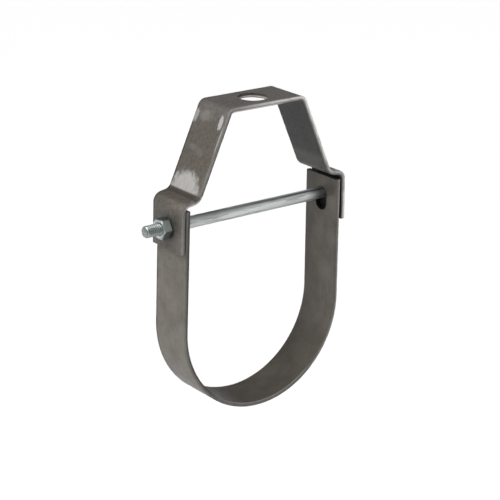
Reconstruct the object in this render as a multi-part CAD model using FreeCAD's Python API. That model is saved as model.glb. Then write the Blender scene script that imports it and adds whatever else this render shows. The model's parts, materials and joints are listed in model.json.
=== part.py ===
import FreeCAD
import Part
import math
import os

# Clevis hanger for one horizontal pipe: a bent yoke that hangs from a threaded rod,
# a U strap that carries the pipe, and the cross bolt and nut that join the two.
#
# Frame, in millimetres: the origin is the centre of the rod hole on the yoke's top face,
# +Z is up, X runs along the cross bolt with its head at +X, Y runs along the pipe.

Vector = FreeCAD.Vector

# ---- flat bar -------------------------------------------------------------------------
strap_width = 31.75
yoke_thickness = 3.0
u_thickness = 3.0
bar_edge_round = 0.45        # eased long edges of the rolled bar

# ---- what the hanger holds ------------------------------------------------------------
pipe_diameter = 114.3
pipe_room = 8.3              # inside width of the U over the pipe
rod_diameter = 15.875
rod_room = 3.175             # rod hole over the rod

# ---- U strap --------------------------------------------------------------------------
u_drop = 70.2                # bolt axis down to the centre of the half round
u_rise = 12.7                # bolt axis up to the cut end at the bolt's head
nut_leg_extra = 0.9          # how much higher the cut end at the nut is
nut_leg_lean = 1.1           # degrees that the leg leans in towards its cut end
head_leg_lean = 0.5
u_off_centre = 0.5           # middle of the U towards the nut
slot_width = 10.8
slot_length = 16.1
hang_gap = 0.08              # bolt to the top of the slot that hangs on it

# ---- yoke -----------------------------------------------------------------------------
takeout = 75.3               # top face down to the bolt axis
top_length = 60.6            # between the outer corners of the top plate
top_bend = 3.0               # inside radius of each bend
shoulder_bend = 5.5
ear_bend = 3.4
shoulder_step = 12.6         # outer corner of the head side's ear in to the foot of its leg
shoulder_tilt = 10.4         # degrees that the shoulder rises inwards
nut_ear_drop = 14.4          # bolt axis down to the ear's lower edge
head_ear_drop = 15.6
nut_ear_splay = 0.8          # degrees that the ear opens downwards, less where the nut draws it in
head_ear_splay = 1.5
ear_end_room = 0.1           # head side's cut end below the start of its ear's bend
nut_side_gap = 0.6           # U strap to the ear, at its cut end
head_side_gap = 1.22

# ---- cross bolt and nut ---------------------------------------------------------------
bolt_diameter = 7.94
bolt_hole_room = 0.8         # ear holes over the bolt
bolt_past_nut = 10.67        # makes the bolt 6 in long under its head
bolt_end_chamfer = 0.9
head_flats = 12.7
head_height = 5.2
nut_flats = 12.7
nut_height = 6.65
nut_bore_room = 0.1
washer_face = 0.35           # thickness of the round face under head and nut
hex_chamfer = 30.0           # degrees
seat_gap = 0.1               # head and nut to the ears

# ---- worked out from the sizes above --------------------------------------------------
half_width = strap_width / 2
bolt_z = -takeout
bolt_radius = bolt_diameter / 2
u_inner_radius = (pipe_diameter + pipe_room) / 2
u_outer_radius = u_inner_radius + u_thickness
u_centre_z = bolt_z - u_drop
tilt = math.radians(shoulder_tilt)


class Side:
    """One side of the hanger, with widths measured out from x = 0."""

    def __init__(self, way, rise, lean, splay, gap, drop):
        self.way = way
        self.rise = rise
        self.lean = math.radians(lean)
        self.splay = math.radians(splay)
        self.drop = drop
        strap_x = self.leg_x(u_outer_radius, rise) - way * u_off_centre
        self.ear_inner_x = strap_x + gap + rise * math.tan(self.splay)

    def leg_x(self, radius, height):
        """Face of the U's leg of this radius from the U's middle, at a height over the bolt."""
        return (radius - (u_drop + height) * math.sin(self.lean)) / math.cos(self.lean)

    def ear_outer_x(self, height):
        """Outer face of the ear at a height over the bolt axis."""
        outer = self.ear_inner_x + yoke_thickness / math.cos(self.splay)
        return outer - height * math.tan(self.splay)


nut_side = Side(-1, u_rise + nut_leg_extra, nut_leg_lean, nut_ear_splay, nut_side_gap, nut_ear_drop)
head_side = Side(1, u_rise, head_leg_lean, head_ear_splay, head_side_gap, head_ear_drop)


# ---- outlines -------------------------------------------------------------------------
def unit(vector):
    result = Vector(vector)
    result.normalize()
    return result


def right_of(direction):
    """Direction square to the travel, on its right in the XZ plane with +Y away."""
    return Vector(direction.z, 0, -direction.x)


def bent_paths(corners, bends, thickness):
    """Both faces of a bent bar from the sharp corners of its left-hand face.

    bends holds the inside radius at each corner. Each path comes back as a list of
    edges in order of travel.
    """
    faces = ([], [])
    starts = [corners[0], corners[0] + right_of(unit(corners[1] - corners[0])) * thickness]
    for corner, before, after, bend in zip(corners[1:-1], corners, corners[2:], bends):
        way_in = unit(corner - before)
        way_out = unit(after - corner)
        turn = math.acos(way_in.dot(way_out))
        turns_right = right_of(way_in).dot(way_out) > 0
        side = 1 if turns_right else -1
        left_radius = bend + thickness if turns_right else bend
        reach = left_radius * math.tan(turn / 2)
        centre = corner - way_in * reach + right_of(way_in) * (side * left_radius)
        middle_way = unit(way_in + way_out)
        for path, index, radius in (
            (faces[0], 0, left_radius),
            (faces[1], 1, left_radius - side * thickness),
        ):
            spots = [
                centre - right_of(way) * (side * radius)
                for way in (way_in, middle_way, way_out)
            ]
            path.append(Part.LineSegment(starts[index], spots[0]).toShape())
            path.append(Part.Arc(*spots).toShape())
            starts[index] = spots[2]
    last_way = unit(corners[-1] - corners[-2])
    ends = [corners[-1], corners[-1] + right_of(last_way) * thickness]
    for index in (0, 1):
        faces[index].append(Part.LineSegment(starts[index], ends[index]).toShape())
    return faces


def bar_solid(outer_edges, inner_edges):
    """Solid of a flat bar between two paths in the XZ plane, with eased long edges."""
    outer = Part.Wire(outer_edges)
    inner = Part.Wire(inner_edges)
    outer_ends = [outer.OrderedVertexes[0].Point, outer.OrderedVertexes[-1].Point]
    inner_ends = [inner.OrderedVertexes[0].Point, inner.OrderedVertexes[-1].Point]
    cuts = [
        Part.LineSegment(a, b).toShape() for a, b in zip(outer_ends, inner_ends)
    ]
    outline = Part.Wire(Part.__sortEdges__(outer_edges + inner_edges + cuts))
    blank = Part.Face(outline).extrude(Vector(0, strap_width, 0))
    blank.translate(Vector(0, -half_width, 0))
    cut_middles = [(a + b) / 2 for a, b in zip(outer_ends, inner_ends)]
    long_edges = []
    for edge in blank.Edges:
        middle = edge.CenterOfMass
        in_side_face = abs(abs(middle.y) - half_width) < 1e-6
        flat_middle = Vector(middle.x, 0, middle.z)
        at_cut = any(flat_middle.distanceToPoint(spot) < 1e-6 for spot in cut_middles)
        if in_side_face and not at_cut:
            long_edges.append(edge)
    return blank.makeFillet(bar_edge_round, long_edges)


def hexagon(flats, start_x, height):
    """Hexagonal prism along +X with a flat facing up."""
    corner_radius = flats / 2 / math.cos(math.radians(30))
    corners = []
    for index in range(7):
        angle = math.radians(60 * index)
        corners.append(
            Vector(start_x, corner_radius * math.cos(angle), corner_radius * math.sin(angle))
        )
    return Part.Face(Part.makePolygon(corners)).extrude(Vector(height, 0, 0))


def turned_round_x(profile):
    """Solid of revolution about X from (x, radius) points that start and end on the axis."""
    points = [Vector(x, 0, radius) for x, radius in profile]
    face = Part.Face(Part.makePolygon(points + [points[0]]))
    return face.revolve(Vector(0, 0, 0), Vector(1, 0, 0), 360)


# ---- pieces ---------------------------------------------------------------------------
def shoulder_corner(side):
    """Sharp outer corner of an ear: distance from x = 0 and height over the bolt axis."""
    turn = math.pi / 2 - tilt - side.splay
    rise = u_rise + ear_end_room + (ear_bend + yoke_thickness) * math.tan(turn / 2)
    return side.ear_outer_x(rise), rise


def make_yoke():
    """One bent bar: top plate, two sloping legs, joggled shoulders, two ears."""
    foot_x = shoulder_corner(head_side)[0] - shoulder_step
    corners = []
    for side in (nut_side, head_side):
        shoulder_x, ear_rise = shoulder_corner(side)
        foot_rise = ear_rise + (shoulder_x - foot_x) * math.tan(tilt)
        corners.append([
            Vector(side.way * top_length / 2, 0, 0),
            Vector(side.way * foot_x, 0, bolt_z + foot_rise),
            Vector(side.way * shoulder_x, 0, bolt_z + ear_rise),
            Vector(side.way * side.ear_outer_x(-side.drop), 0, bolt_z - side.drop),
        ])
    path = corners[0][::-1] + corners[1]
    half_bends = [top_bend, shoulder_bend, ear_bend]
    bends = half_bends[::-1] + half_bends
    yoke = bar_solid(*bent_paths(path, bends, yoke_thickness))
    rod_hole = Part.makeCylinder(
        (rod_diameter + rod_room) / 2, 3 * yoke_thickness, Vector(0, 0, -2 * yoke_thickness)
    )
    reach = head_side.ear_outer_x(-head_side.drop) + yoke_thickness
    bolt_holes = Part.makeCylinder(
        (bolt_diameter + bolt_hole_room) / 2,
        2 * reach,
        Vector(-reach, 0, bolt_z),
        Vector(1, 0, 0),
    )
    return yoke.cut(rod_hole).cut(bolt_holes)


def leg_and_round(radius):
    """One face of the U strap: a leg, the half round and the other leg."""
    centre = Vector(0, 0, u_centre_z)

    def on_round(angle):
        return centre + Vector(math.cos(angle), 0, math.sin(angle)) * radius

    nut_foot = on_round(math.pi - nut_side.lean)
    head_foot = on_round(head_side.lean)
    nut_end, head_end = (
        Vector(side.way * side.leg_x(radius, side.rise), 0, bolt_z + side.rise)
        for side in (nut_side, head_side)
    )
    return [
        Part.LineSegment(nut_end, nut_foot).toShape(),
        Part.Arc(nut_foot, on_round(-math.pi / 2), head_foot).toShape(),
        Part.LineSegment(head_foot, head_end).toShape(),
    ]


def make_slot_cutter():
    """Upright round-ended slot through both legs, hung on the bolt at its top."""
    end_radius = slot_width / 2
    top_centre = bolt_z + bolt_radius + hang_gap - end_radius
    low_centre = top_centre - (slot_length - slot_width)
    reach = u_outer_radius + u_thickness
    top_left = Vector(-reach, -end_radius, top_centre)
    top_right = Vector(-reach, end_radius, top_centre)
    low_left = Vector(-reach, -end_radius, low_centre)
    low_right = Vector(-reach, end_radius, low_centre)
    crown = Vector(-reach, 0, top_centre + end_radius)
    sole = Vector(-reach, 0, low_centre - end_radius)
    outline = Part.Wire([
        Part.Arc(top_left, crown, top_right).toShape(),
        Part.LineSegment(top_right, low_right).toShape(),
        Part.Arc(low_right, sole, low_left).toShape(),
        Part.LineSegment(low_left, top_left).toShape(),
    ])
    return Part.Face(outline).extrude(Vector(2 * reach, 0, 0))


def make_u_strap():
    """One bent bar: two legs with slotted ends and a half round that cradles the pipe."""
    strap = bar_solid(leg_and_round(u_outer_radius), leg_and_round(u_inner_radius))
    strap = strap.cut(make_slot_cutter())
    strap.translate(Vector(-u_off_centre, 0, 0))
    return strap


def seat_x(side, flats):
    """Plane that a head or nut of this size seats on, outside an opened ear."""
    return side.ear_outer_x(-flats / 2) + seat_gap


def chamfered_hex(flats, start_x, height, both_ends):
    """Hexagon whose outer corners, and inner ones if asked, are turned to a cone."""
    corner_radius = flats / 2 / math.cos(math.radians(30))
    face_radius = 0.96 * flats / 2
    drop = (corner_radius - face_radius) * math.tan(math.radians(hex_chamfer))
    first_radius = face_radius if both_ends else corner_radius
    first_drop = drop if both_ends else 0
    cone = turned_round_x([
        (start_x, 0),
        (start_x, first_radius),
        (start_x + first_drop, corner_radius),
        (start_x + height - drop, corner_radius),
        (start_x + height, face_radius),
        (start_x + height, 0),
    ])
    return hexagon(flats, start_x, height).common(cone)


def make_cross_bolt():
    """Hexagon bolt along X: head outside the +X ear, plain end past the nut."""
    head_x = seat_x(head_side, head_flats)
    end_x = -(seat_x(nut_side, nut_flats) + nut_height + bolt_past_nut)
    shank = turned_round_x([
        (end_x, 0),
        (end_x, bolt_radius - bolt_end_chamfer),
        (end_x + bolt_end_chamfer, bolt_radius),
        (head_x + head_height / 2, bolt_radius),
        (head_x + head_height / 2, 0),
    ])
    face = Part.makeCylinder(
        0.96 * head_flats / 2, washer_face, Vector(head_x, 0, 0), Vector(1, 0, 0)
    )
    head_start = head_x + washer_face
    head = chamfered_hex(head_flats, head_start, head_height - washer_face, False)
    bolt = shank.fuse([face, head]).removeSplitter()
    bolt.translate(Vector(0, 0, bolt_z))
    return bolt


def make_hex_nut():
    """Hexagon nut against the outside of the -X ear, chamfered at both ends."""
    start_x = seat_x(nut_side, nut_flats)
    blank = chamfered_hex(nut_flats, start_x, nut_height, True)
    bore = Part.makeCylinder(
        bolt_radius + nut_bore_room / 2,
        3 * nut_height,
        Vector(start_x - nut_height, 0, 0),
        Vector(1, 0, 0),
    )
    nut = blank.cut(bore)
    nut.rotate(Vector(0, 0, 0), Vector(0, 0, 1), 180)
    nut.translate(Vector(0, 0, bolt_z))
    return nut


pieces = {
    "yoke": make_yoke,
    "u_strap": make_u_strap,
    "cross_bolt": make_cross_bolt,
    "hex_nut": make_hex_nut,
}

os.makedirs("parts", exist_ok=True)
for name, make in pieces.items():
    shape = make()
    solids = shape.Solids
    if len(solids) != 1 or not shape.isValid():
        raise RuntimeError(name + " isn't one valid solid")
    solids[0].exportStep("parts/" + name + ".step")
    box = shape.BoundBox
    print(
        name, "volume", round(shape.Volume, 1),
        "x", round(box.XMin, 2), round(box.XMax, 2),
        "y", round(box.YMin, 2), round(box.YMax, 2),
        "z", round(box.ZMin, 2), round(box.ZMax, 2),
    )
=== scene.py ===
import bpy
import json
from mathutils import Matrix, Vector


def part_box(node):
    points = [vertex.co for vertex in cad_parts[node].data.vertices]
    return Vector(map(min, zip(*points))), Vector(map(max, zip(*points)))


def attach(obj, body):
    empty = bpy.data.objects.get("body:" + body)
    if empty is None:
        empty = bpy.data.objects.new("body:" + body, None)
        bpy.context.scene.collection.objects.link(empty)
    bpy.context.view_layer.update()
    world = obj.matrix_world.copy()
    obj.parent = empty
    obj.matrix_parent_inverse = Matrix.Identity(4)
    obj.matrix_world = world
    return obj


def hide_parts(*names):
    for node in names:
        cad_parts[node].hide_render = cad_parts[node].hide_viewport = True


bl_info = {
    "name": "Clevis Pipe Hanger",
    "version": (1, 0, 0),
    "blender": (4, 5, 0),
    "location": "View3D > Sidebar > Pipe Hanger",
    "description": "Clevis pipe hanger on its construction frame, with finishes and a stage",
    "category": "Add Mesh",
}

import json
import math
from collections import namedtuple

import bpy
from bpy.props import FloatProperty, FloatVectorProperty, IntProperty, PointerProperty
from mathutils import Matrix, Vector

# Row frame, in metres: origin at the centre of the rod hole on the yoke's top face, +Z up,
# X along the cross bolt with its head at +X, Y along the pipe.
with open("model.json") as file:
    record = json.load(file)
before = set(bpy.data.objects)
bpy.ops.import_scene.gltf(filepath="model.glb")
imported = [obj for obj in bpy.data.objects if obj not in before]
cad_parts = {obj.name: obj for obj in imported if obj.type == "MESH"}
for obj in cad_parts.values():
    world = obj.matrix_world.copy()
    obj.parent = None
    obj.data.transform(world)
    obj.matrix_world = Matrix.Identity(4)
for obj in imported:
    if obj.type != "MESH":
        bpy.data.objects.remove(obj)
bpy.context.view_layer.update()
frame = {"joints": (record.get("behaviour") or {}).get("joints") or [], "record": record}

MM = 0.001
WELD = 1e-6  # points closer than this, in metres, are one
EDGE_STEPS = 4  # steps round a bar's long edges
CUT_STEPS = 2  # steps round a cut or turned edge
DRILL_SIDES = 96
TURNED_SIDES = 64
CONE_SIDES = 90
SHARP_CUT = math.radians(50)  # edges of a bar's cuts and holes that are eased
SHARP_TURNED = math.radians(25)  # edges of the head and the nut that are eased
SMOOTH_BAR = math.radians(40)  # faces that meet at less are shaded as one
SMOOTH_TURNED = math.radians(35)  # the same on the bolt and the nut
THREAD_FLANK = math.radians(30)  # slope of each side of the thread
THREAD_DEPTH = 0.6134  # of the pitch
HEXAGON_FACE = 0.96  # turned face of head and nut, of the width across flats
CLEAR = 1.1  # how far a cutting shape goes past what it cuts
mounts = {mount["name"]: mount for mount in frame["record"]["mounts"]}
joints = {joint["name"]: joint for joint in frame["joints"]}
yoke_low, yoke_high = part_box("yoke")
strap_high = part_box("u_strap")[1]
bolt_low, bolt_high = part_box("cross_bolt")
nut_low, nut_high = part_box("hex_nut")
bolt_z = joints["bolt_turn"]["pos_m"][2]
rod_radius = mounts["rod_hole"]["dims"]["r_mm"] * MM
bar_width = yoke_high.y - yoke_low.y


# ---- sizes and colours that a user would change ---------------------------------------
def length(name, description, default):
    """A length property, given in millimetres."""
    return FloatProperty(
        name=name, description=description, default=default * MM, unit="LENGTH", precision=5
    )


def degrees(name, description, default):
    """An angle property, written in degrees."""
    return FloatProperty(
        name=name,
        description=description,
        default=math.radians(default),
        subtype="ANGLE",
        unit="ROTATION",
    )


def colour(name, description, default):
    """A colour property in linear light."""
    return FloatVectorProperty(
        name=name, description=description, default=default, subtype="COLOR", min=0, max=1
    )


def share(name, description, default, high=1.0):
    """A plain number from nought up."""
    return FloatProperty(name=name, description=description, default=default, min=0, max=high)


class HangerBarSizes(bpy.types.PropertyGroup):
    """Flat bar that the yoke and the U strap are bent from."""

    width: length("Width", "Width of the bar, along the pipe", bar_width / MM)
    yoke_thickness: length("Yoke thickness", "Thickness of the yoke's bar", 3.0)
    u_thickness: length("U thickness", "Thickness of the U strap's bar", 3.0)
    edge_round: length("Edge round", "Radius of the rolled long edges", 0.45)
    cut_round: length("Cut round", "Rounding of sheared ends and punched rims", 0.22)
    bend_step: degrees("Bend step", "Turn of each short piece of a bend", 6.0)
    round_step: degrees("Round step", "Turn of each short piece of the half round", 2.0)


class HangerYokeSizes(bpy.types.PropertyGroup):
    """Bent yoke that hangs from the rod."""

    top_length: length("Top length", "Top plate between its outer corners", 60.6)
    top_bend: length("Top bend", "Inside radius of the bends beside the top plate", 3.0)
    shoulder_bend: length("Shoulder bend", "Inside radius at the foot of each leg", 5.5)
    ear_bend: length("Ear bend", "Inside radius where each ear turns down", 3.4)
    shoulder_step: length("Shoulder step", "Head ear's corner in to the leg's foot", 12.6)
    shoulder_tilt: degrees("Shoulder tilt", "Rise of each shoulder towards the leg", 10.4)
    bend_rise: length("Bend rise", "Bolt axis up to the start of an ear's bend", 12.8)
    nut_ear_reach: length("Nut ear reach", "Outer face of the ear at the nut", 66.993)
    nut_ear_splay: degrees("Nut ear splay", "Opening downwards of the ear at the nut", 0.8)
    nut_ear_drop: length("Nut ear drop", "Bolt axis down to that ear's edge", 14.4)
    head_ear_reach: length("Head ear reach", "Outer face of the ear at the head", 67.633)
    head_ear_splay: degrees("Head ear splay", "Opening downwards of the ear at the head", 1.5)
    head_ear_drop: length("Head ear drop", "Bolt axis down to that ear's edge", 15.6)
    bolt_hole: length("Bolt hole", "Diameter of the holes in the ears", 8.74)


class HangerUSizes(bpy.types.PropertyGroup):
    """U strap that carries the pipe."""

    nut_rise: length("Nut leg rise", "Bolt axis up to the cut end at the nut", 13.6)
    nut_lean: degrees("Nut leg lean", "Lean of that leg in towards its cut end", 1.1)
    head_rise: length("Head leg rise", "Bolt axis up to the cut end at the head", 12.7)
    head_lean: degrees("Head leg lean", "Lean of that leg in towards its cut end", 0.5)
    slot_width: length("Slot width", "Width of the slots for the bolt", 10.8)
    slot_length: length("Slot length", "Height of the slots for the bolt", 16.1)
    hang_gap: length("Hang gap", "Bolt to the top of its slots", 0.08)


class HangerBoltSizes(bpy.types.PropertyGroup):
    """Cross bolt and its nut."""

    diameter: length("Diameter", "Diameter over the bolt's thread and shank", 7.94)
    pitch: length("Pitch", "Pitch of the coarse thread, eighteen to the inch", 25.4 / 18)
    thread_length: length("Thread length", "Length of the thread from the end", 22.2)
    end_chamfer: length("End chamfer", "Chamfer at the bolt's end", 0.9)
    flats: length("Flats", "Width of head and nut across their flats", 12.7)
    head_height: length("Head height", "Height of the head with its round face", 5.2)
    washer_face: length("Round face", "Thickness of the round face under the head", 0.35)
    corner_drop: length("Corner drop", "Depth of the chamfer at the hexagon's corners", 0.75)
    edge_round: length("Edge round", "Rounding of the hexagon's edges", 0.12)
    turn_steps: IntProperty(
        name="Steps a turn", description="Short pieces in each turn of the thread", default=40
    )


class HangerFinishes(bpy.types.PropertyGroup):
    """Colours of the metal."""

    steel: colour("Steel", "Oiled mill finish of the bar", (0.130, 0.121, 0.109))
    steel_dark: colour("Dark steel", "Darker clouds in the mill finish", (0.088, 0.080, 0.071))
    steel_rust: colour("Brown tint", "Faint brown stains", (0.122, 0.099, 0.085))
    # also the colour of the painted highlights along the bars' edges
    bare_steel_and_highlight: colour("Bare steel", "Steel rubbed bright", (0.60, 0.595, 0.58))
    zinc: colour("Zinc", "Bright zinc plating", (0.66, 0.68, 0.68))
    zinc_dull: colour("Dull zinc", "Duller clouds in the plating", (0.42, 0.45, 0.44))
    floor: colour("Floor", "Plain pale floor", (0.92, 0.92, 0.92))


class HangerStageSizes(bpy.types.PropertyGroup):
    """Camera, floor and lights."""

    aim: FloatVectorProperty(
        name="Aim",
        description="Point that the camera looks at",
        default=(-5.646 * MM, -7.203 * MM, -101.07 * MM),
        subtype="TRANSLATION",
        unit="LENGTH",
    )
    azimuth: degrees("Azimuth", "Turn of the camera from the front, to the nut's side", -38.165)
    elevation: degrees("Elevation", "Height of the camera as an angle", 19.764)
    roll: degrees("Roll", "Turn of the camera about its line of sight", -1.07)
    distance: length("Distance", "Camera to the point it looks at", 1128.05)
    lens: FloatProperty(
        name="Lens", description="Focal length of the camera in millimetres", default=123.944
    )
    floor_drop: length("Floor drop", "Floor below the rod hole", 750.0)
    floor_size: length("Floor size", "Side of the square floor", 24000.0)
    key_strength: share("Key strength", "Strength of the soft key light", 4.0, 20.0)
    front_power: share("Front power", "Power of the front soft box in watts", 7.2, 100.0)
    room_low: share("Low room light", "Room light just over the floor", 0.45, 10.0)
    room_high: share("High room light", "Room light from overhead", 0.12, 10.0)


# ---- modelling by hand ----------------------------------------------------------------
Straight = namedtuple("Straight", "start way size along")
Bend = namedtuple("Bend", "centre way radius turn along")
Slot = namedtuple("Slot", "middle half_straight radius")


def pick(piece):
    """Makes one object the only selected and the active one."""
    bpy.ops.object.select_all(action="DESELECT")
    piece.select_set(True)
    bpy.context.view_layer.objects.active = piece


def name_new(name):
    """Names the object that an operator has just added."""
    piece = bpy.context.object
    piece.name = name
    piece.data.name = name
    return piece


def put_in_mesh():
    """Puts the active object's place, turn and size into its mesh."""
    bpy.ops.object.transform_apply(location=True, rotation=True, scale=True)


def set_in_mesh(name, size=(1, 1, 1)):
    """Names and sizes the object just added, with its place and turn put into its mesh."""
    piece = name_new(name)
    piece.scale = size
    put_in_mesh()
    return piece


def edit():
    """Goes to edit mode."""
    bpy.ops.object.mode_set(mode="EDIT")


def leave_edit():
    """Goes back to object mode."""
    bpy.ops.object.mode_set(mode="OBJECT")


def face_outwards():
    """Turns all faces of the piece in edit mode outwards, then leaves edit mode."""
    bpy.ops.mesh.select_all(action="SELECT")
    bpy.ops.mesh.normals_make_consistent(inside=False)
    leave_edit()


def apply_modifier(piece, kind, **settings):
    """Adds one modifier to a piece, sets it and applies it."""
    pick(piece)
    bpy.ops.object.modifier_add(type=kind)
    modifier = piece.modifiers[-1]
    for name, value in settings.items():
        setattr(modifier, name, value)
    bpy.ops.object.modifier_apply(modifier=modifier.name)


def combine(piece, tool, operation):
    """Cuts a tool from a piece, joins it on or keeps what both share, and removes the tool."""
    apply_modifier(piece, "BOOLEAN", object=tool, operation=operation, solver="EXACT")
    bpy.data.objects.remove(tool)


def ease_sharp_edges(piece, sharpness, size):
    """Rounds every edge of a piece that is sharper than an angle."""
    pick(piece)
    edit()
    bpy.ops.mesh.select_all(action="SELECT")
    bpy.ops.mesh.remove_doubles(threshold=WELD)
    bpy.ops.mesh.select_all(action="DESELECT")
    bpy.ops.mesh.select_mode(type="EDGE")
    bpy.ops.mesh.edges_select_sharp(sharpness=sharpness)
    bpy.ops.mesh.bevel(offset=size, segments=CUT_STEPS, affect="EDGES", clamp_overlap=True)
    leave_edit()


def smooth(piece, angle):
    """Smooth shading across blends, with broad faces kept flat."""
    pick(piece)
    bpy.ops.object.shade_smooth_by_angle(angle=angle)
    apply_modifier(piece, "WEIGHTED_NORMAL", mode="FACE_AREA", weight=50, keep_sharp=True)


# ---- bent bars ------------------------------------------------------------------------
def right_of(way):
    """Direction square to the travel, on its right in the XZ plane with +Y away."""
    return Vector((way.z, 0, -way.x))


def bent_runs(corners, bends, thickness):
    """Straight runs and bends of a bar's middle line.

    corners are the sharp corners of its left-hand face, bends the inside radii at them.
    """
    runs = []
    way_in = (corners[1] - corners[0]).normalized()
    spot = corners[0] + right_of(way_in) * thickness / 2
    along = 0.0
    for corner, after, bend in zip(corners[1:-1], corners[2:], bends):
        way_out = (after - corner).normalized()
        side = 1 if right_of(way_in).dot(way_out) > 0 else -1
        turn = way_in.angle(way_out)
        left_radius = bend + thickness if side > 0 else bend
        radius = left_radius - side * thickness / 2
        reach = left_radius * math.tan(turn / 2)
        centre = corner - way_in * reach + right_of(way_in) * side * left_radius
        bend_start = centre - right_of(way_in) * side * radius
        runs.append(Straight(spot, way_in, (bend_start - spot).length, along))
        along += runs[-1].size
        runs.append(Bend(centre, way_in, radius, side * turn, along))
        along += radius * turn
        spot = centre - right_of(way_out) * side * radius
        way_in = way_out
    last = corners[-1] + right_of(way_in) * thickness / 2
    runs.append(Straight(spot, way_in, (last - spot).length, along))
    return runs


def lay_of(point, runs):
    """Distance along a bent bar and height over its middle line, to the left of the travel."""
    flat = Vector((point.x, 0, point.z))
    best = None
    for run in runs:
        if isinstance(run, Straight):
            reach = (flat - run.start).dot(run.way)
            over = max(-reach, reach - run.size, 0)
            left = -(flat - run.start).dot(right_of(run.way))
        else:
            side = 1 if run.turn > 0 else -1
            arm = flat - run.centre
            first = right_of(run.way) * -side
            angle = math.atan2(arm.dot(run.way), arm.dot(first))
            if angle < -math.pi / 2:
                angle += 2 * math.pi
            reach = angle * run.radius
            over = max(-reach, reach - abs(run.turn) * run.radius, 0)
            left = side * (arm.length - run.radius)
        miss = over + abs(left)
        if best is None or miss < best[0]:
            best = (miss, run.along + reach, left)
    return best[1], best[2]


def model_bent_bar(name, runs, thickness, sizes, step):
    """Rounded section of a bar, extruded along its straights and spun round its bends."""
    first = runs[0]
    bpy.ops.mesh.primitive_plane_add(
        size=1, location=first.start, rotation=(0, math.atan2(first.way.x, first.way.z), 0)
    )
    bar = set_in_mesh(name, (thickness, sizes.width, 1))
    edit()
    bpy.ops.mesh.bevel(affect="VERTICES", offset=sizes.edge_round, segments=EDGE_STEPS)
    bpy.ops.mesh.select_mode(type="FACE")
    for run in runs:
        if isinstance(run, Straight):
            bpy.ops.mesh.extrude_region_move(
                TRANSFORM_OT_translate={"value": run.way * run.size}
            )
        else:
            bpy.ops.mesh.spin(
                steps=math.ceil(abs(run.turn) / step),
                angle=-run.turn,
                center=run.centre,
                axis=(0, 1, 0),
            )
    bpy.ops.mesh.select_all(action="SELECT")
    bpy.ops.mesh.remove_doubles(threshold=WELD)
    face_outwards()
    return bar


def note_lay(bar, runs, outer_side):
    """Keeps each point's place on the flat bar: along it, across it and out from its middle."""
    lay = bar.data.attributes.new("bar_lay", "FLOAT_VECTOR", "POINT")
    for spot, vertex in zip(lay.data, bar.data.vertices):
        along, left = lay_of(vertex.co, runs)
        spot.vector = (along, vertex.co.y, left * outer_side)


def add_round_bar(name, radius, start, end):
    """Plain round bar between two points, to cut a hole with."""
    middle = (start + end) / 2
    way = end - start
    bpy.ops.mesh.primitive_cylinder_add(
        vertices=DRILL_SIDES,
        radius=radius,
        depth=way.length,
        location=middle,
        rotation=way.to_track_quat("Z", "Y").to_euler(),
    )
    return set_in_mesh(name)


def yoke_runs(sizes, bar):
    """Middle line of the yoke, from the nut side's ear over the top to the head side's."""
    sides = (
        (-1, sizes.nut_ear_reach, sizes.nut_ear_splay, sizes.nut_ear_drop),
        (1, sizes.head_ear_reach, sizes.head_ear_splay, sizes.head_ear_drop),
    )

    def ear_x(reach, splay, height):
        return reach - height * math.tan(splay)

    def shoulder_rise(splay):
        turn = math.pi / 2 - sizes.shoulder_tilt - splay
        return sizes.bend_rise + (sizes.ear_bend + bar.yoke_thickness) * math.tan(turn / 2)

    head_rise = shoulder_rise(sizes.head_ear_splay)
    foot_x = ear_x(sizes.head_ear_reach, sizes.head_ear_splay, head_rise) - sizes.shoulder_step
    halves = []
    for way, reach, splay, drop in sides:
        rise = shoulder_rise(splay)
        corner = ear_x(reach, splay, rise)
        foot_rise = rise + (corner - foot_x) * math.tan(sizes.shoulder_tilt)
        halves.append([
            Vector((way * sizes.top_length / 2, 0, 0)),
            Vector((way * foot_x, 0, bolt_z + foot_rise)),
            Vector((way * corner, 0, bolt_z + rise)),
            Vector((way * ear_x(reach, splay, -drop), 0, bolt_z - drop)),
        ])
    corners = halves[0][::-1] + halves[1]
    bends = [sizes.top_bend, sizes.shoulder_bend, sizes.ear_bend]
    return bent_runs(corners, bends[::-1] + bends, bar.yoke_thickness)


def u_runs(sizes, bar):
    """Middle line of the U strap, from its nut side's cut end down and round."""
    seat = mounts["pipe_seat"]
    centre = Vector(seat["pos_m"])
    radius = seat["dims"]["r_mm"] * MM + bar.u_thickness / 2

    def leg_length(foot, rise, lean):
        height = bolt_z + rise - foot.z
        return height / math.cos(lean) - bar.u_thickness / 2 * math.tan(lean)

    down = Vector((-math.sin(sizes.nut_lean), 0, -math.cos(sizes.nut_lean)))
    up = Vector((-math.sin(sizes.head_lean), 0, math.cos(sizes.head_lean)))
    nut_foot = centre + right_of(down) * radius
    head_foot = centre + right_of(up) * radius
    nut_leg = leg_length(nut_foot, sizes.nut_rise, sizes.nut_lean)
    head_leg = leg_length(head_foot, sizes.head_rise, sizes.head_lean)
    turn = math.pi + sizes.nut_lean + sizes.head_lean
    return [
        Straight(nut_foot - down * nut_leg, down, nut_leg, 0.0),
        Bend(centre, down, radius, -turn, nut_leg),
        Straight(head_foot, up, head_leg, nut_leg + radius * turn),
    ]


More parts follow.
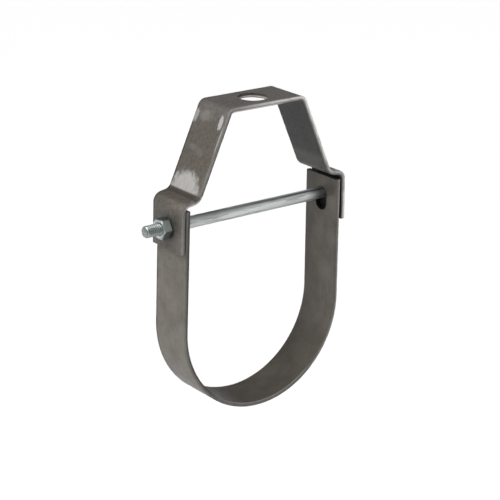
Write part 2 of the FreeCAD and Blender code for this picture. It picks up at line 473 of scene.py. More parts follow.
def model_yoke(scene):
    """The yoke: one bent bar with a rod hole in its top and a bolt hole in each ear."""
    bar = scene.hanger_bar
    sizes = scene.hanger_yoke
    runs = yoke_runs(sizes, bar)
    yoke = model_bent_bar("bent_yoke", runs, bar.yoke_thickness, bar, bar.bend_step)
    drill = Vector((0, 0, 2 * bar.yoke_thickness))
    combine(yoke, add_round_bar("rod_drill", rod_radius, -drill, drill), "DIFFERENCE")
    axis = Vector((0, 0, bolt_z))
    reach = Vector((CLEAR * sizes.head_ear_reach, 0, 0))
    bolt_drill = add_round_bar("bolt_drill", sizes.bolt_hole / 2, axis - reach, axis + reach)
    combine(yoke, bolt_drill, "DIFFERENCE")
    ease_sharp_edges(yoke, SHARP_CUT, bar.cut_round)
    note_lay(yoke, runs, 1)
    smooth(yoke, SMOOTH_BAR)
    return yoke, runs


def model_u_strap(scene):
    """The U strap: one bent bar with a slot for the bolt in each leg."""
    bar = scene.hanger_bar
    sizes = scene.hanger_u
    runs = u_runs(sizes, bar)
    strap = model_bent_bar("pipe_strap", runs, bar.u_thickness, bar, bar.round_step)
    radius = sizes.slot_width / 2
    top_centre = bolt_z + scene.hanger_bolt.diameter / 2 + sizes.hang_gap - radius
    low_centre = top_centre - (sizes.slot_length - sizes.slot_width)
    slot_middle = (top_centre + low_centre) / 2
    reach = Vector((CLEAR * strap_high.x, 0, 0))
    for height in (top_centre, low_centre):
        spot = Vector((0, 0, height))
        combine(strap, add_round_bar("slot_end", radius, spot - reach, spot + reach), "DIFFERENCE")
    bpy.ops.mesh.primitive_cube_add(size=1, location=(0, 0, slot_middle))
    size = (2 * reach.x, sizes.slot_width, top_centre - low_centre)
    middle = set_in_mesh("slot_middle", size)
    combine(strap, middle, "DIFFERENCE")
    ease_sharp_edges(strap, SHARP_CUT, bar.cut_round)
    note_lay(strap, runs, -1)
    smooth(strap, SMOOTH_BAR)
    return strap, Slot(slot_middle, (top_centre - low_centre) / 2, radius)


# ---- turned pieces, thread and hexagons -----------------------------------------------
def model_turned(name, profile, vertices):
    """Turned piece along X at the bolt's height, from (x, radius) steps."""
    (start_x, start_radius), *steps = profile
    bpy.ops.mesh.primitive_circle_add(
        vertices=vertices,
        radius=start_radius,
        fill_type="NGON",
        location=(start_x, 0, bolt_z),
        rotation=(0, math.radians(90), 0),
    )
    piece = set_in_mesh(name)
    edit()
    x, radius = start_x, start_radius
    for next_x, next_radius in steps:
        bpy.ops.mesh.extrude_region_move(TRANSFORM_OT_translate={"value": (next_x - x, 0, 0)})
        bpy.ops.transform.resize(
            value=(1, next_radius / radius, next_radius / radius),
            center_override=(next_x, 0, bolt_z),
        )
        x, radius = next_x, next_radius
    face_outwards()
    return piece


def model_thread_groove(sizes, start_x, turns, root, outside):
    """Groove of a coarse thread: a section with a narrow foot, wound round the bolt's axis."""
    foot_half = sizes.pitch / 12
    mouth_half = foot_half + (outside - root) * math.tan(THREAD_FLANK)
    middle = bolt_z + (root + outside) / 2
    bpy.ops.mesh.primitive_plane_add(
        size=1, location=(start_x, 0, middle), rotation=(math.radians(90), 0, 0)
    )
    groove = set_in_mesh("thread_groove", (2 * mouth_half, outside - root, 1))
    edit()
    bpy.ops.mesh.select_mode(type="VERT")
    bpy.ops.mesh.select_all(action="DESELECT")
    leave_edit()
    for vertex in groove.data.vertices:
        vertex.select = vertex.co.z < middle
    edit()
    bpy.ops.transform.resize(
        value=(foot_half / mouth_half, 1, 1), center_override=(start_x, 0, bolt_z + root)
    )
    bpy.ops.mesh.select_all(action="SELECT")
    bpy.ops.mesh.delete(type="ONLY_FACE")
    leave_edit()
    bpy.context.scene.cursor.location = (start_x, 0, bolt_z)
    bpy.ops.object.origin_set(type="ORIGIN_CURSOR")
    apply_modifier(
        groove,
        "SCREW",
        axis="X",
        angle=2 * math.pi,
        screw_offset=sizes.pitch,
        iterations=turns,
        steps=sizes.turn_steps,
        render_steps=sizes.turn_steps,
        use_merge_vertices=False,
    )
    put_in_mesh()
    edit()
    bpy.ops.mesh.select_all(action="DESELECT")
    bpy.ops.mesh.select_non_manifold()
    bpy.ops.mesh.fill()
    face_outwards()
    return groove


def model_hexagon(name, sizes, start_x, end_x, both_ends):
    """Hexagon along X with a flat facing up and its outer corners turned to a cone."""
    corner = sizes.flats / 2 / math.cos(math.pi / 6)
    face = HEXAGON_FACE * sizes.flats / 2
    bpy.ops.mesh.primitive_cylinder_add(
        vertices=6,
        radius=corner,
        depth=abs(end_x - start_x),
        location=((start_x + end_x) / 2, 0, bolt_z),
        rotation=(0, math.radians(90), 0),
    )
    hexagon = set_in_mesh(name)
    outside = CLEAR * corner
    drop = sizes.corner_drop * (outside - face) / (corner - face)
    drop = math.copysign(drop, end_x - start_x)
    before = [(start_x, outside)]
    if both_ends:
        before = [(start_x, face), (start_x + drop, outside)]
    after = [(end_x - drop, outside), (end_x, face)]
    blank = model_turned(name + "_blank", before + after, CONE_SIDES)
    combine(hexagon, blank, "INTERSECT")
    return hexagon


def model_cross_bolt(scene):
    """The cross bolt: hexagon head, plain shank and a cut thread at its end."""
    sizes = scene.hanger_bolt
    radius = sizes.diameter / 2
    root = radius - THREAD_DEPTH * sizes.pitch
    end_x = bolt_low.x
    head_x = bolt_high.x - sizes.head_height
    face_radius = HEXAGON_FACE * sizes.flats / 2
    fillet = 0.4 * MM
    bolt = model_turned(
        "cross_bolt_turned",
        [
            (end_x, radius - sizes.end_chamfer),
            (end_x + sizes.end_chamfer, radius),
            (head_x - fillet, radius),
            (head_x, radius + fillet),
            (head_x, face_radius),
            (head_x + 1.5 * sizes.washer_face, face_radius),
        ],
        TURNED_SIDES,
    )
    head = model_hexagon(
        "bolt_head", sizes, head_x + sizes.washer_face, bolt_high.x, both_ends=False
    )
    combine(bolt, head, "UNION")
    ease_sharp_edges(bolt, SHARP_TURNED, sizes.edge_round)
    turns = round(sizes.thread_length / sizes.pitch) + 1
    groove = model_thread_groove(sizes, end_x - sizes.pitch, turns, root, radius + 0.1 * MM)
    combine(bolt, groove, "DIFFERENCE")
    smooth(bolt, SMOOTH_TURNED)
    return bolt


def model_hex_nut(scene):
    """The nut: hexagon chamfered at both ends, with a countersunk bore."""
    sizes = scene.hanger_bolt
    bore = sizes.diameter / 2 + 0.05 * MM
    sink = bore + 0.55 * MM
    nut = model_hexagon("nut_hexagon", sizes, nut_high.x, nut_low.x, both_ends=True)
    drill = model_turned(
        "nut_drill",
        [
            (nut_low.x - 1 * MM, sink),
            (nut_low.x - 0.1 * MM, sink),
            (nut_low.x + 0.35 * MM, bore),
            (nut_high.x - 0.35 * MM, bore),
            (nut_high.x + 0.1 * MM, sink),
            (nut_high.x + 1 * MM, sink),
        ],
        TURNED_SIDES,
    )
    combine(nut, drill, "DIFFERENCE")
    ease_sharp_edges(nut, SHARP_TURNED, sizes.edge_round)
    smooth(nut, SMOOTH_TURNED)
    return nut


# ---- finishes -------------------------------------------------------------------------
class Finish:
    """A material and short calls that add its nodes and join them."""

    def __init__(self, name):
        self.material = bpy.data.materials.new(name)
        self.material.use_nodes = True
        self.tree = self.material.node_tree
        self.shader = self.tree.nodes["Principled BSDF"]

    def add(self, kind, sockets, **settings):
        """One node; sockets holds numbers, colours or the outputs that feed them."""
        node = self.tree.nodes.new("ShaderNode" + kind)
        for name, value in settings.items():
            setattr(node, name, value)
        for name, value in sockets.items():
            if isinstance(value, bpy.types.NodeSocket):
                self.tree.links.new(value, node.inputs[name])
            else:
                node.inputs[name].default_value = value
        return node

    def math(self, operation, first, second=0.0):
        """Difference, greater one or the like of two values."""
        return self.add("Math", {0: first, 1: second}, operation=operation).outputs[0]

    def over(self, value, base):
        """How far a value is over a base."""
        return self.math("SUBTRACT", value, base)

    def ramp(self, value, low, high, start=0.0, end=1.0):
        """Smooth change from start to end as a value goes from low to high."""
        sockets = {
            "Value": value,
            "From Min": low,
            "From Max": high,
            "To Min": start,
            "To Max": end,
        }
        node = self.add("MapRange", sockets, interpolation_type="SMOOTHSTEP")
        return node.outputs["Result"]

    def fade(self, value, low, high, start=0.0, end=1.0, base=0.0):
        """A ramp between two places given in millimetres past a base in metres."""
        return self.ramp(value, base + low * MM, base + high * MM, start, end)

    def less_where(self, mask, least):
        """One where a mask is nought, down to the least where the mask is one."""
        return self.ramp(mask, 0.0, 1.0, 1.0, least)

    def product(self, *values):
        """Product of several values."""
        result = values[0]
        for value in values[1:]:
            result = self.math("MULTIPLY", result, value)
        return result

    def total(self, *parts):
        """Sum of values, each with its weight."""
        result = 0.0
        for value, weight in parts:
            node = self.add("Math", {0: value, 1: weight, 2: result}, operation="MULTIPLY_ADD")
            result = node.outputs[0]
        return result

    def reach(self, first, second):
        """Length of the arm that two square parts make."""
        squares = self.total(
            (self.product(first, first), 1.0), (self.product(second, second), 1.0)
        )
        return self.math("SQRT", squares)

    def band(self, value, low, high, fade):
        """One between two limits, with soft ends."""
        return self.product(
            self.ramp(value, low - fade, low), self.ramp(value, high + fade, high)
        )

    def split(self, vector):
        """The three parts of a vector."""
        return list(self.add("SeparateXYZ", {"Vector": vector}).outputs)

    def blend(self, factor, first, second, kind="MIX"):
        """Mix or product of two colours."""
        node = self.add("Mix", {"Factor": factor}, data_type="RGBA", blend_type=kind)
        for name, value in ((6, first), (7, second)):
            if isinstance(value, bpy.types.NodeSocket):
                self.tree.links.new(value, node.inputs[name])
            else:
                node.inputs[name].default_value = (*value, 1)
        return node.outputs[2]

    def tint(self, skin, *tints):
        """Skin multiplied by each tint where the tint's mask is one."""
        for mask, tint in tints:
            skin = self.blend(mask, skin, tint, "MULTIPLY")
        return skin

    def noise(self, place, scale, detail, rough, stretch=(1, 1, 1)):
        """Noise with features of about 1 / scale metres, stretched along any axis."""
        mapping = self.add("Mapping", {"Vector": place, "Scale": stretch})
        sockets = {
            "Vector": mapping.outputs[0],
            "Scale": scale,
            "Detail": detail,
            "Roughness": rough,
        }
        return self.add("TexNoise", sockets).outputs["Fac"]

    def feed(self, name, value):
        """Joins a value to one of the shader's own sockets."""
        self.tree.links.new(value, self.shader.inputs[name])

    def bump(self, height, distance):
        """Relief from a height of nought to one that stands for a distance in metres."""
        sockets = {"Height": height, "Distance": distance, "Strength": 1.0}
        self.feed("Normal", self.add("Bump", sockets).outputs[0])


BarPlaces = namedtuple("BarPlaces", "lay along across out place x y z")
BoltPlaces = namedtuple("BoltPlaces", "place x y height reach")
OvalMark = namedtuple("OvalMark", "along across half_along half_across rag soft strength")


def grey(level):
    """A colour with its three parts alike."""
    return (level, level, level)


def bar_places(finish):
    """Where a point lies on the flat bar and in the frame."""
    lay = finish.add("Attribute", {}, attribute_name="bar_lay").outputs["Vector"]
    place = finish.add("TexCoord", {}).outputs["Object"]
    return BarPlaces(lay, *finish.split(lay), place, *finish.split(place))


def bolt_places(finish):
    """Where a point lies along, beside and over the bolt's axis, and how far from it."""
    place = finish.add("TexCoord", {}).outputs["Object"]
    x, y, z = finish.split(place)
    height = finish.over(z, bolt_z)
    return BoltPlaces(place, x, y, height, finish.reach(y, height))


def hole_wall(finish, first, second, half_straight, radius):
    """Mask of the wall and rim of a round or slotted hole, from two distances to its centre."""
    past_straight = finish.over(finish.math("ABSOLUTE", second), half_straight)
    reach = finish.reach(first, finish.math("MAXIMUM", past_straight, 0.0))
    return finish.fade(reach, 0.4, 0.1, base=radius)


def outer_face(finish, spot):
    """Mask of the half of the bar's thickness that faces out."""
    return finish.fade(spot.out, -1, 1)


def back_margin(finish, spot, bar, outside):
    """Mask of the outer face along the bar's back edge, where painted shade goes."""
    return finish.product(
        finish.fade(spot.across, -2.2, -0.6, base=bar.width / 2), outside
    )


def front_rim(finish, spot, bar):
    """Mask of the bar's front edge, and the chips along it."""
    rim = finish.ramp(spot.across, bar.edge_round - bar.width / 2, -bar.width / 2)
    return rim, finish.noise(spot.lay, 500, 3, 0.6, (0.25, 1, 1))


def mill_skin(finish, spot, colours, mottle):
    """Oiled mill skin: broad clouds, blotches, roll lines and brown stains, and its tone."""
    clouds = finish.noise(spot.place, 70, 4, 0.6)
    blotches = finish.noise(spot.place, 420, 4, 0.7)
    grain = finish.noise(spot.place, 1400, 3, 0.7)
    lines = finish.noise(spot.lay, 900, 3, 0.6, (0.03, 1, 1))
    patches = finish.noise(spot.place, 160, 4, 0.7)
    tone = finish.total(
        (clouds, 0.65 - 0.45 * mottle), (blotches, 0.5 * mottle), (lines, 0.15), (grain, 0.2)
    )
    reach = 0.15 - 0.07 * mottle
    skin = finish.blend(
        finish.ramp(tone, 0.5 - reach, 0.5 + reach), colours.steel_dark, colours.steel
    )
    stained = finish.product(finish.ramp(patches, 0.52, 0.68), 0.3 + 0.1 * mottle)
    skin = finish.blend(stained, skin, colours.steel_rust)
    relief = finish.total((grain, 0.6), (lines, 0.4))
    return skin, tone, relief


def finish_steel(finish, skin, tone, relief, wear_and_highlight, colours):
    """Joins a steel's skin, its wear and its painted highlights to the shader."""
    finish.feed("Base Color", finish.blend(wear_and_highlight, skin, colours.bare_steel_and_highlight))
    finish.feed("Metallic", finish.ramp(wear_and_highlight, 0.0, 1.0, 0.2, 0.6))
    finish.feed("Roughness", finish.ramp(tone, 0.3, 0.7, 0.55, 0.42))
    finish.shader.inputs["Specular IOR Level"].default_value = 0.35
    finish.bump(relief, 0.06 * MM)
    return finish.material


def oval_mark_mask(finish, spot, oval_mark):
    """Mask of a patch on the bar's outer face: an oval with a ragged, soft rim."""
    beside_along = finish.product(finish.over(spot.along, oval_mark.along), 1 / oval_mark.half_along)
    beside_across = finish.product(finish.over(spot.across, oval_mark.across), 1 / oval_mark.half_across)
    ragged = finish.over(finish.noise(spot.lay, 330, 4, 0.65, (0.6, 1, 1)), 0.5)
    rim = finish.total((finish.reach(beside_along, beside_across), 1.0), (ragged, oval_mark.rag))
    patch = finish.ramp(rim, 1.0 + oval_mark.soft, 1.0 - oval_mark.soft)
    return finish.product(patch, finish.fade(spot.out, 0, 1), oval_mark.strength)


def yoke_tints(finish, spot, bar, tone, crown):
    """Masks of the yoke's darker and lighter places, each with its tint, among them painted shade
    inside, along the back edge, in the rod hole and round the nut, and painted highlights along
    the front edge and on the ear's bend.
    """
    outside = outer_face(finish, spot)
    inside = finish.fade(spot.out, -0.5, -1.4)
    below_top = finish.product(outside, finish.fade(spot.z, -4, -10))
    on_leg = finish.product(below_top, finish.fade(spot.z, -58, -48))
    # painted shade on the yoke's inside faces, made lighter near the legs' feet
    foot_glow = finish.band(spot.z, -58 * MM, -50 * MM, 12 * MM)
    inside_shade = finish.product(inside, finish.less_where(foot_glow, 0.72))
    # painted highlight along the front of the outer face
    front = finish.fade(spot.across, 4, 1.5, base=-bar.width / 2)
    # painted shade on the upper wall of the rod hole; its lower band is bare sheared steel
    rod_wall = hole_wall(finish, spot.x, spot.y, 0.0, rod_radius)
    rod_wall = finish.product(rod_wall, finish.fade(spot.z, -4, -3.5))
    sheared = finish.fade(spot.z, -1.2, -2)
    # painted highlight along the crown of the ear's bend
    bend_highlight = finish.product(
        finish.band(spot.along, *crown, 2.5 * MM),
        finish.fade(spot.across, 6, -3),
        finish.ramp(tone, 0.42, 0.55),
        outside,
    )
    nut_shade = finish.product(
        hole_wall(finish, spot.across, finish.over(spot.z, bolt_z), 0.0, 8.5 * MM),
        finish.fade(spot.x, -60, -62),
        0.6,
    )
    return (
        (outside, (0.93, 0.92, 0.93)),
        (below_top, (0.78, 0.76, 0.72)),
        (on_leg, (1.04, 1.03, 1.01)),
        (inside_shade, (0.10, 0.105, 0.11)),
        (back_margin(finish, spot, bar, outside), grey(0.34)),
        (finish.product(front, outside, 0.4), (1.5, 1.45, 1.42)),
        (rod_wall, finish.blend(sheared, grey(0.45), (3.6, 3.55, 3.5))),
        (bend_highlight, (1.5, 1.45, 1.4)),
        (nut_shade, (0.55, 0.6, 0.6)),
    )


def yoke_edge_wear_and_highlight(finish, spot, bar):
    """Front edge of the yoke: wear with chips and a painted highlight that grows towards the outer
    corner and the head side, a painted dark line along the edge, and painted highlights under the
    top plate and under the nut side's shoulder.
    """
    rim, chips = front_rim(finish, spot, bar)
    # the painted highlight grows towards the outer corner
    rolled = finish.fade(spot.out, -1.2, 0.9, 0.16, 1.0)
    painted_dark_line = finish.band(spot.out, -0.75 * MM, -0.45 * MM, 0.25 * MM)
    shoulder = finish.band(spot.z, -68 * MM, -52 * MM, 6 * MM)
    edge = finish.product(
        rim,
        rolled,
        finish.fade(spot.x, -40, 20, 0.22, 1.0),
        finish.less_where(shoulder, 0.62),
        finish.ramp(chips, 0.3, 0.55, 0.55, 1.0),
        finish.less_where(painted_dark_line, 0.45),
    )
    under_top = finish.product(
        rim,
        finish.fade(spot.out, -0.5, -0.9),
        finish.fade(spot.z, -5, -3.5),
        finish.fade(spot.x, 16, 4),
    )
    under_shoulder = finish.product(
        rim,
        finish.fade(spot.out, 0.2, -0.6),
        finish.band(spot.z, -59.5 * MM, -54 * MM, 1.2 * MM),
        finish.fade(spot.x, -30, -42),
        finish.ramp(chips, 0.4, 0.6, 0.4, 1.0),
    )
    return finish.total((edge, 1.0), (under_top, 0.6), (under_shoulder, 0.7))


def yoke_steel(colours, bar, marks, patches, hollow, crown):
    """Finish of the yoke: mottled and rubbed bright on one leg, with wear and painted highlights
    along its front edges, a painted highlight on its ear bend, and painted shade inside, in its
    hollow bend, round its holes and along its back edge.
    """
    finish = Finish("yoke_mill_steel")
    spot = bar_places(finish)
    skin, tone, relief = mill_skin(finish, spot, colours, 1.0)
    # painted shade in the hollow of the nut side's shoulder bend, where wear is also held back
    hollow_shade = finish.product(
        finish.band(spot.along, *hollow, 2.2 * MM), outer_face(finish, spot)
    )
    skin = finish.tint(skin, *yoke_tints(finish, spot, bar, tone, crown))
    skin = finish.tint(skin, (hollow_shade, (0.58, 0.55, 0.51)))
    skin = finish.tint(skin, *((oval_mark_mask(finish, spot, oval_mark), tint) for oval_mark, tint in patches))
    scratches = finish.product(
        finish.ramp(finish.noise(spot.lay, 700, 4, 0.7, (0.12, 1, 1)), 0.28, 0.62, 0.68, 1.0),
        finish.fade(spot.along, -0.5, 2.5, base=hollow[1]),
    )
    wear_and_highlight = yoke_edge_wear_and_highlight(finish, spot, bar)
    for mark in marks:
        rubbed = finish.product(oval_mark_mask(finish, spot, mark), scratches)
        wear_and_highlight = finish.math("MAXIMUM", wear_and_highlight, rubbed)
    wear_and_highlight = finish.product(wear_and_highlight, finish.less_where(hollow_shade, 0.2))
    return finish_steel(finish, skin, tone, relief, wear_and_highlight, colours)


def strap_tints(finish, spot, bar, slot):
    """Masks of the U strap's darker places, each with its tint: the inside browner and partly in
    painted shade, painted shade lower down the inside and towards its back, along the back edge
    and on the slot walls.
    """
    outside = outer_face(finish, spot)
    inside = finish.fade(spot.out, 0, -1.4)
    over_foot = finish.product(inside, finish.fade(spot.z, -205, -192))
    far_inside = finish.ramp(spot.across, -bar.width / 2, bar.width / 2)
    low_inside = finish.product(
        over_foot,
        finish.fade(spot.z, -165, -180),
        finish.fade(spot.x, -4, 26, -0.5, 1.0),
    )
    height = finish.over(spot.z, slot.middle)
    slot_wall = hole_wall(finish, spot.across, height, slot.half_straight, slot.radius)
    # the inside tints are a browner skin and partly painted shade; the back margin and slot walls
    # are painted shade
    return (
        (outside, (1.07, 1.06, 1.0)),
        (inside, (0.82, 0.78, 0.73)),
        (finish.product(over_foot, far_inside), grey(0.62)),
        (low_inside, (0.76, 0.76, 0.74)),
        (back_margin(finish, spot, bar, outside), grey(0.4)),
        (slot_wall, grey(0.12)),
    )


def strap_steel(colours, bar, slot):
    """Finish of the U strap: even outside, darker and browner inside and in its slots, partly
    painted shade, with painted highlight lines and painted shade along its front edge.
    """
    finish = Finish("strap_mill_steel")
    spot = bar_places(finish)
    skin, tone, relief = mill_skin(finish, spot, colours, 0.35)
    skin = finish.tint(skin, *strap_tints(finish, spot, bar, slot))
    rim, chips = front_rim(finish, spot, bar)
    low = finish.fade(spot.z, -188, -200)
    high = finish.over(1.0, low)
    nut_leg = finish.fade(spot.x, 12, -12)
    # painted highlight lines along the front edge's corners, broken by chips
    outer_corner = finish.product(
        finish.fade(spot.out, -0.4, 1.2),
        high,
        finish.ramp(nut_leg, 0.0, 1.0, 0.3, 0.1),
    )
    inner_corner = finish.product(finish.fade(spot.out, -0.5, -1.2), low)
    corners = finish.total((outer_corner, 1.0), (inner_corner, 0.26))
    wear_and_highlight = finish.product(rim, corners, finish.ramp(chips, 0.3, 0.55, 0.45, 1.0))
    inner_shade = finish.product(finish.fade(spot.out, 0.6, -0.9), high, nut_leg)
    outer_shade = finish.product(finish.fade(spot.out, 0.2, 1.3), low)
    straight = finish.product(finish.fade(spot.z, -150, -90), nut_leg)
    shade = finish.total((inner_shade, 1.0), (outer_shade, 0.8), (straight, 0.7))
    shade = finish.product(rim, finish.math("MINIMUM", shade, 1.0))
    skin = finish.tint(skin, (shade, grey(0.5)))
    return finish_steel(finish, skin, tone, relief, wear_and_highlight, colours)


def zinc_skin(finish, place, colours, stretch, shine, relief):
    """Zinc plating: clouded sheen with drawn lines, duller and rougher as shine falls."""
    clouds = finish.noise(place, 260, 4, 0.6, stretch)
    drawn = finish.noise(place, 1300, 3, 0.6, stretch)
    tone = finish.total((clouds, 0.6), (drawn, 0.4))
    bright = finish.product(finish.ramp(tone, 0.35, 0.62), shine)
    finish.feed("Roughness", finish.ramp(bright, 0.0, 1.0, 0.48, 0.24))
    finish.bump(drawn, relief)
    return finish.blend(bright, colours.zinc_dull, colours.zinc)


def nut_zinc(colours):
    """Finish of the nut: bright end face, a darker chamfer ring, flats in painted shade and a
    painted contact shadow where it seats.
    """
    finish = Finish("nut_zinc")
    spot = bolt_places(finish)
    skin = zinc_skin(finish, spot.place, colours, (1, 1, 1), 0.6, 0.04 * MM)
    turned = finish.product(
        finish.fade(spot.reach, 5.9, 6.15),
        finish.fade(spot.x, 1.2, 0, base=nut_low.x),
    )
    # painted shade on the flats
    flats = finish.product(
        finish.fade(spot.reach, 6.1, 6.35),
        finish.fade(spot.x, 0.3, 0.9, base=nut_low.x),
    )
    # painted contact shadow where the nut seats on the ear
    seat = finish.fade(spot.x, -1.2, -0.5, base=nut_high.x)
    skin = finish.tint(
        skin, (turned, (0.62, 0.62, 0.61)), (flats, (0.5, 0.54, 0.53)), (seat, grey(0.15))
    )
    scuffed = finish.product(
        flats,
        finish.fade(spot.y, -3.2, -4.2),
        finish.fade(spot.height, -0.3, 0.3),
    )
    finish.feed("Metallic", finish.less_where(scuffed, 0.35))
    finish.feed("Base Color", skin)
    return finish.material


def bolt_tints(finish, spot, sizes, off_head, on_shank):
    """Masks of the bolt's streaks, painted reflection lines, painted light on its top side,
    painted shade in the thread and a painted shadow, each with its tint.
    """
    radius = sizes.diameter / 2
    x = spot.x
    streaks = finish.ramp(finish.noise(spot.place, 800, 3, 0.6, (0.05, 1, 1)), 0.5, 0.58)
    slant = finish.total((spot.y, 0.41 / radius), (spot.height, 0.91 / radius))
    # painted reflection lines along the top and the bottom of the shank
    top_reflection_line = finish.product(
        finish.band(slant, 0.54, 0.68, 0.16), finish.fade(x, -55, 45, 0.0, 0.95)
    )
    bottom_reflection_line = finish.band(slant, -1.0, -0.88, 0.1)
    lines = finish.total((top_reflection_line, 1.0), (bottom_reflection_line, 0.4))
    # painted light on the top of the shank near the nut
    lit_top_side = finish.band(slant, -0.1, 0.85, 0.2)
    nut_side = finish.fade(x, -5, -50)
    end = bolt_low.x
    thread_end = end + sizes.thread_length
    # painted shade in the roots of the thread
    thread_root_shade = finish.product(
        finish.fade(spot.reach, -0.1, -0.6, base=radius),
        finish.fade(x, 1, 0, base=thread_end),
        finish.fade(x, 0.05, 0.3, base=end),
    )
    shadow = finish.fade(x, -21, -6, base=strap_high.x)
    return (
        (finish.product(streaks, off_head, 0.55), (0.35, 0.36, 0.36)),
        (finish.product(lines, off_head), grey(0.2)),
        (finish.product(lit_top_side, nut_side, on_shank), (1.4, 1.39, 1.38)),
        (finish.fade(x, 0.3, 0.05, base=end), (0.72, 0.72, 0.71)),
        (thread_root_shade, (0.66, 0.72, 0.69)),
        (finish.product(shadow, off_head), grey(0.17)),
    )


def bolt_zinc(colours, sizes):
    """Finish of the bolt: drawn streaks, painted reflection lines and painted light on the shank,
    a dull end, painted shade in the thread and a painted shadow by the head side's leg.
    """
    finish = Finish("bolt_zinc")
    spot = bolt_places(finish)
    past_nut = finish.fade(spot.x, 0, 1, base=nut_high.x)
    under_head = bolt_high.x - sizes.head_height
    off_head = finish.fade(spot.x, 0.1, -0.1, base=under_head)
    on_shank = finish.product(past_nut, off_head)
    shine = finish.fade(spot.x, 0, 1, 0.3, 1.0, base=nut_high.x)
    skin = zinc_skin(finish, spot.place, colours, (0.04, 1, 1), shine, 0.12 * MM)
    skin = finish.tint(skin, *bolt_tints(finish, spot, sizes, off_head, on_shank))
    middle = finish.product(finish.fade(spot.x, -60, 0, 0.0, 0.25), off_head)
    off_shank = finish.less_where(on_shank, 0.0)
    finish.feed("Metallic", finish.total((middle, 1.0), (off_shank, 1.0)))
    finish.feed("Base Color", skin)
    return finish.material


def floor_paint(colours):
    """Finish of the floor: plain, pale and dull."""
    finish = Finish("pale_floor")
    finish.shader.inputs["Base Color"].default_value = (*colours.floor, 1)
    finish.shader.inputs["Roughness"].default_value = 0.9
    finish.shader.inputs["Specular IOR Level"].default_value = 0.1
    return finish.material


def dress(piece, finish):
    """Gives a piece its one finish."""
    piece.data.materials.clear()
    piece.data.materials.append(finish)


# ---- stage ----------------------------------------------------------------------------
def add_light(name, kind, location, power, target):
    """Light of one kind that shines at a point."""
    bpy.ops.object.light_add(type=kind, location=location)
    light = name_new(name)
    light.data.energy = power
    way = Vector(target) - light.location
    light.rotation_euler = way.to_track_quat("-Z", "Y").to_euler()
    return light.data


def add_camera(stage):
    """Camera at its viewing angle, a little rolled."""
    azimuth, elevation = stage.azimuth, stage.elevation
    back = Vector((
        math.sin(azimuth) * math.cos(elevation),
        -math.cos(azimuth) * math.cos(elevation),
        math.sin(elevation),
    ))
    level = Vector((math.cos(azimuth), math.sin(azimuth), 0))
    upright = back.cross(level)
    right = level * math.cos(stage.roll) - upright * math.sin(stage.roll)
    up = level * math.sin(stage.roll) + upright * math.cos(stage.roll)
    bpy.ops.object.camera_add()
    camera = bpy.context.object
    camera.name = "view_camera"
    turn = Matrix((right, up, back)).transposed().to_4x4()
    camera.matrix_world = Matrix.Translation(Vector(stage.aim) + back * stage.distance) @ turn
    camera.data.sensor_width = 36
    camera.data.lens = stage.lens
    camera.data.clip_end = 100
    bpy.context.scene.camera = camera


def set_room_light(low, high):
    """Room light that dims upwards from the horizon, to its least at about 17 degrees."""
    world = bpy.data.worlds.new("soft_room")
    bpy.context.scene.world = world
    world.use_nodes = True
    tree = world.node_tree
    direction = tree.nodes.new("ShaderNodeTexCoord").outputs["Generated"]
    split = tree.nodes.new("ShaderNodeSeparateXYZ")
    tree.links.new(direction, split.inputs[0])
    fade = tree.nodes.new("ShaderNodeMapRange")
    dim_from = 0.3
    limits = {"From Min": 0.0, "From Max": dim_from, "To Min": low, "To Max": high}
    for name, value in limits.items():
        fade.inputs[name].default_value = value
    tree.links.new(split.outputs["Z"], fade.inputs["Value"])
    background = tree.nodes["Background"]
    background.inputs["Color"].default_value = (1, 1, 1, 1)
    tree.links.new(fade.outputs[0], background.inputs["Strength"])


def set_stage(scene):
    """Floor, lights, room light and camera."""
    stage = scene.hanger_stage
    bpy.ops.mesh.primitive_plane_add(size=stage.floor_size, location=(0, 0, -stage.floor_drop))
    floor = set_in_mesh("floor")
    dress(floor, floor_paint(scene.hanger_finishes))
    rod_hole = (0, 0, 0)
    middle = (0, 0, -0.1)
    key = add_light("left_key_light", "SUN", (-1.3, 0, 1.5), stage.key_strength, rod_hole)
    key.angle = math.radians(55)
    box = add_light("front_soft_box", "AREA", (1.1, -1.4, 0.45), stage.front_power, middle)
    box.shape = "SQUARE"
    box.size = 1.6
    set_room_light(stage.room_low, stage.room_high)
    add_camera(stage)
    scene.view_settings.view_transform = "Standard"


# ---- operators ------------------------------------------------------------------------
def oval_marks_from(rows):
    """Oval marks from rows with their places and half sizes in millimetres."""
    return [OvalMark(*(size * MM for size in row[:4]), *row[4:]) for row in rows]


def leg_marks(runs, width):
    """Marks rubbed bright on the nut side's leg and on the head side's shoulder, and one painted
    highlight line along that leg's front corner.

    Each row is a place along and across the bar, two half sizes, how ragged and how soft the
    rim is, and the strength.
    """
    foot = runs[4].along / MM
    head = runs[5].along / MM
    front = -width / 2 / MM
    shoulder = runs[11].along / MM - 1.5
    return oval_marks_from((
        (foot - 4, 0.8, 15.2, 14.2, 0.9, 0.2, 0.68),
        (head - 6.5, 14.2, 4.2, 2.4, 1.2, 0.35, 0.42),
        (head - 5.5, 4, 3.2, 7, 2.4, 0.35, 0.12),
        (head - 7, front + 4.2, 4.8, 1.9, 2.2, 0.3, 0.72),
        # a painted highlight line along the leg's front corner
        (head - 17, front + 0.5, 9, 0.6, 0.5, 0.4, 0.35),
        (head - 26, 6, 2, 4, 2.5, 0.4, 0.06),
        (head - 29, -2, 2.6, 3, 2.5, 0.4, 0.07),
        (shoulder, 0, 3.6, 18, 1.6, 0.5, 0.6),
    ))


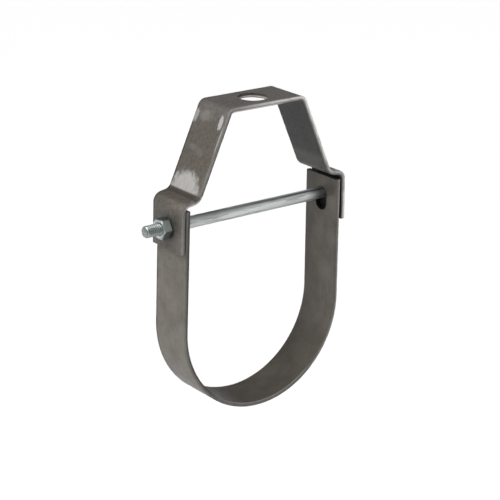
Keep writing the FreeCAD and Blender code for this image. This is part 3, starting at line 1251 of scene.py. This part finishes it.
def bar_stains_and_shade(runs):
    """Patches on the nut side, each with its tint: a rust stain on the leg, a blue-grey darker
    patch beside the nut and painted shade over the ear.
    """
    ear_top = runs[1].along / MM
    leg_head = runs[5].along / MM
    rust, blue_grey_patch, ear_shade = oval_marks_from((
        (leg_head - 33, -7, 3, 2.2, 1.2, 0.5, 0.55),
        (ear_top - 10, -8.5, 7, 2.6, 1.4, 0.6, 0.8),
        # painted shade over the nut side's ear
        (ear_top - 11, 0, 12.5, 17, 0.8, 0.8, 1.0),
    ))
    return (
        (rust, (1.35, 1.05, 0.85)),
        (blue_grey_patch, (0.72, 0.78, 0.80)),
        (ear_shade, (0.90, 0.90, 0.93)),
    )


class HANGER_OT_model_yoke(bpy.types.Operator):
    """Model the bent yoke that hangs from the rod"""

    bl_idname = "hanger.model_yoke"
    bl_label = "Model the yoke"

    def execute(self, context):
        scene = context.scene
        bar = scene.hanger_bar
        yoke, runs = model_yoke(scene)
        marks = leg_marks(runs, bar.width)
        hollow = (runs[3].along + 1.4 * MM, runs[4].along - 2.4 * MM)
        crown = (runs[1].along + 2 * MM, runs[2].along - 3 * MM)
        colours = scene.hanger_finishes
        dress(yoke, yoke_steel(colours, bar, marks, bar_stains_and_shade(runs), hollow, crown))
        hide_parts("yoke")
        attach(yoke, "yoke_body")
        return {"FINISHED"}


class HANGER_OT_model_u_strap(bpy.types.Operator):
    """Model the U strap that carries the pipe"""

    bl_idname = "hanger.model_u_strap"
    bl_label = "Model the U strap"

    def execute(self, context):
        scene = context.scene
        strap, slot = model_u_strap(scene)
        dress(strap, strap_steel(scene.hanger_finishes, scene.hanger_bar, slot))
        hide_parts("u_strap")
        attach(strap, "u_strap_body")
        return {"FINISHED"}


class HANGER_OT_model_cross_bolt(bpy.types.Operator):
    """Model the cross bolt with its head and thread"""

    bl_idname = "hanger.model_cross_bolt"
    bl_label = "Model the cross bolt"

    def execute(self, context):
        scene = context.scene
        bolt = model_cross_bolt(scene)
        dress(bolt, bolt_zinc(scene.hanger_finishes, scene.hanger_bolt))
        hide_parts("cross_bolt")
        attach(bolt, "bolt_body")
        return {"FINISHED"}


class HANGER_OT_model_hex_nut(bpy.types.Operator):
    """Model the nut"""

    bl_idname = "hanger.model_hex_nut"
    bl_label = "Model the nut"

    def execute(self, context):
        scene = context.scene
        nut = model_hex_nut(scene)
        dress(nut, nut_zinc(scene.hanger_finishes))
        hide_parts("hex_nut")
        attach(nut, "bolt_body")
        return {"FINISHED"}


class HANGER_OT_set_stage(bpy.types.Operator):
    """Set the floor, the lights and the camera"""

    bl_idname = "hanger.set_stage"
    bl_label = "Set the stage"

    def execute(self, context):
        set_stage(context.scene)
        return {"FINISHED"}


class HANGER_PT_sidebar(bpy.types.Panel):
    """Sizes, finishes and steps of the pipe hanger"""

    bl_idname = "HANGER_PT_sidebar"
    bl_label = "Pipe Hanger"
    bl_space_type = "VIEW_3D"
    bl_region_type = "UI"
    bl_category = "Pipe Hanger"

    def draw(self, context):
        layout = self.layout
        for name, (_, label) in settings_groups.items():
            box = layout.box()
            box.label(text=label)
            group = getattr(context.scene, name)
            for key in group.__annotations__:
                box.prop(group, key)
        for step in steps:
            layout.operator(step.bl_idname)


settings_groups = {
    "hanger_bar": (HangerBarSizes, "Flat bar"),
    "hanger_yoke": (HangerYokeSizes, "Yoke"),
    "hanger_u": (HangerUSizes, "U strap"),
    "hanger_bolt": (HangerBoltSizes, "Bolt and nut"),
    "hanger_finishes": (HangerFinishes, "Finishes"),
    "hanger_stage": (HangerStageSizes, "Stage"),
}
steps = (
    HANGER_OT_model_yoke,
    HANGER_OT_model_u_strap,
    HANGER_OT_model_cross_bolt,
    HANGER_OT_model_hex_nut,
    HANGER_OT_set_stage,
)


def register():
    for name, (group, _) in settings_groups.items():
        bpy.utils.register_class(group)
        setattr(bpy.types.Scene, name, PointerProperty(type=group))
    for step in steps:
        bpy.utils.register_class(step)
    bpy.utils.register_class(HANGER_PT_sidebar)


def unregister():
    bpy.utils.unregister_class(HANGER_PT_sidebar)
    for step in reversed(steps):
        bpy.utils.unregister_class(step)
    for name, (group, _) in reversed(settings_groups.items()):
        delattr(bpy.types.Scene, name)
        bpy.utils.unregister_class(group)


def main():
    register()
    bpy.ops.hanger.model_yoke()
    bpy.ops.hanger.model_u_strap()
    bpy.ops.hanger.model_cross_bolt()
    bpy.ops.hanger.model_hex_nut()
    bpy.ops.hanger.set_stage()


if __name__ == "__main__":
    main()
